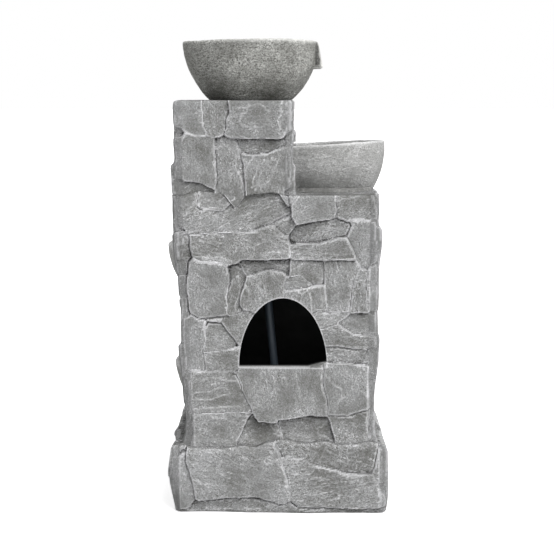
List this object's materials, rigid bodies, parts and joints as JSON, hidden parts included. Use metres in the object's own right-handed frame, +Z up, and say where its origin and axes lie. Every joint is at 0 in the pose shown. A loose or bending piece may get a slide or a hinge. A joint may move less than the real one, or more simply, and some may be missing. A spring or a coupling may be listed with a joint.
{
  "type": "garden fountain",
  "caption": "Free-standing tiered garden fountain: stacked-stone tower on a plinth with a sump, bowls that spill one into the next, service arch, riser hose and submersible pump.",
  "frame": {"origin": "on the ground at the middle of the plinth", "axes": "+Z up, -Y towards the service side with the arch, +X to the right as seen from the service side"},
  "size_m": [0.412, 0.388, 0.839],
  "materials": {
    "cast_stone": "rough cast, dry-brushed pale on the edges",
    "mortar": "trowelled",
    "laminate": "rough laminate",
    "black_rubber": "matte",
    "grey_pvc": "satin",
    "hose_vinyl": "satin",
    "pump_plastic": "satin",
    "dial_plastic": "satin",
    "ferrite": "ground",
    "white_ceramic": "polished"
  },
  "bodies": {
    "base": {"tower_core": "laminate", "tower_stone_face": "cast_stone", "plinth_tank": "laminate", "plinth_stone_face": "cast_stone", "right_bowl": "cast_stone", "left_bowl": "cast_stone", "basin_bowl": "cast_stone", "right_bowl_bedding": "mortar", "basin_bedding": "mortar", "left_bowl_corbel": "cast_stone", "return_standpipe": "grey_pvc", "riser_hose": "hose_vinyl", "pump_housing": "pump_plastic", "pump_volute": "pump_plastic", "volute_seal": "black_rubber", "rotor_shaft": "white_ceramic", "rear_bush": "black_rubber", "front_bush": "black_rubber", "suction_feet": "black_rubber", "cable_gland": "black_rubber"},
    "loose_bowl": {"top_bowl": "cast_stone", "bowl_grommet": "black_rubber"},
    "strainer": {"strainer_cover": "pump_plastic"},
    "dial": {"flow_dial": "dial_plastic"},
    "rotor": {"rotor_magnet": "ferrite", "impeller": "dial_plastic"}
  },
  "joints": [
    {"name": "top_bowl_lift", "type": "slide", "parent": "base", "child": "loose_bowl", "axis": [0, 0, 1], "range_m": [0, 0.06]},
    {"name": "strainer_pull", "type": "slide", "parent": "base", "child": "strainer", "axis": [0, -1, 0], "range_m": [0, 0.03]},
    {"name": "flow_dial_turn", "type": "hinge", "parent": "strainer", "child": "dial", "pos_m": [-0.006, -0.1, 0.043], "axis": [0, -1, 0], "range_deg": [0, 180]},
    {"name": "rotor_spin", "type": "hinge", "parent": "base", "child": "rotor", "pos_m": [-0.006, -0.06, 0.043], "axis": [0, -1, 0], "continuous": true}
  ]
}
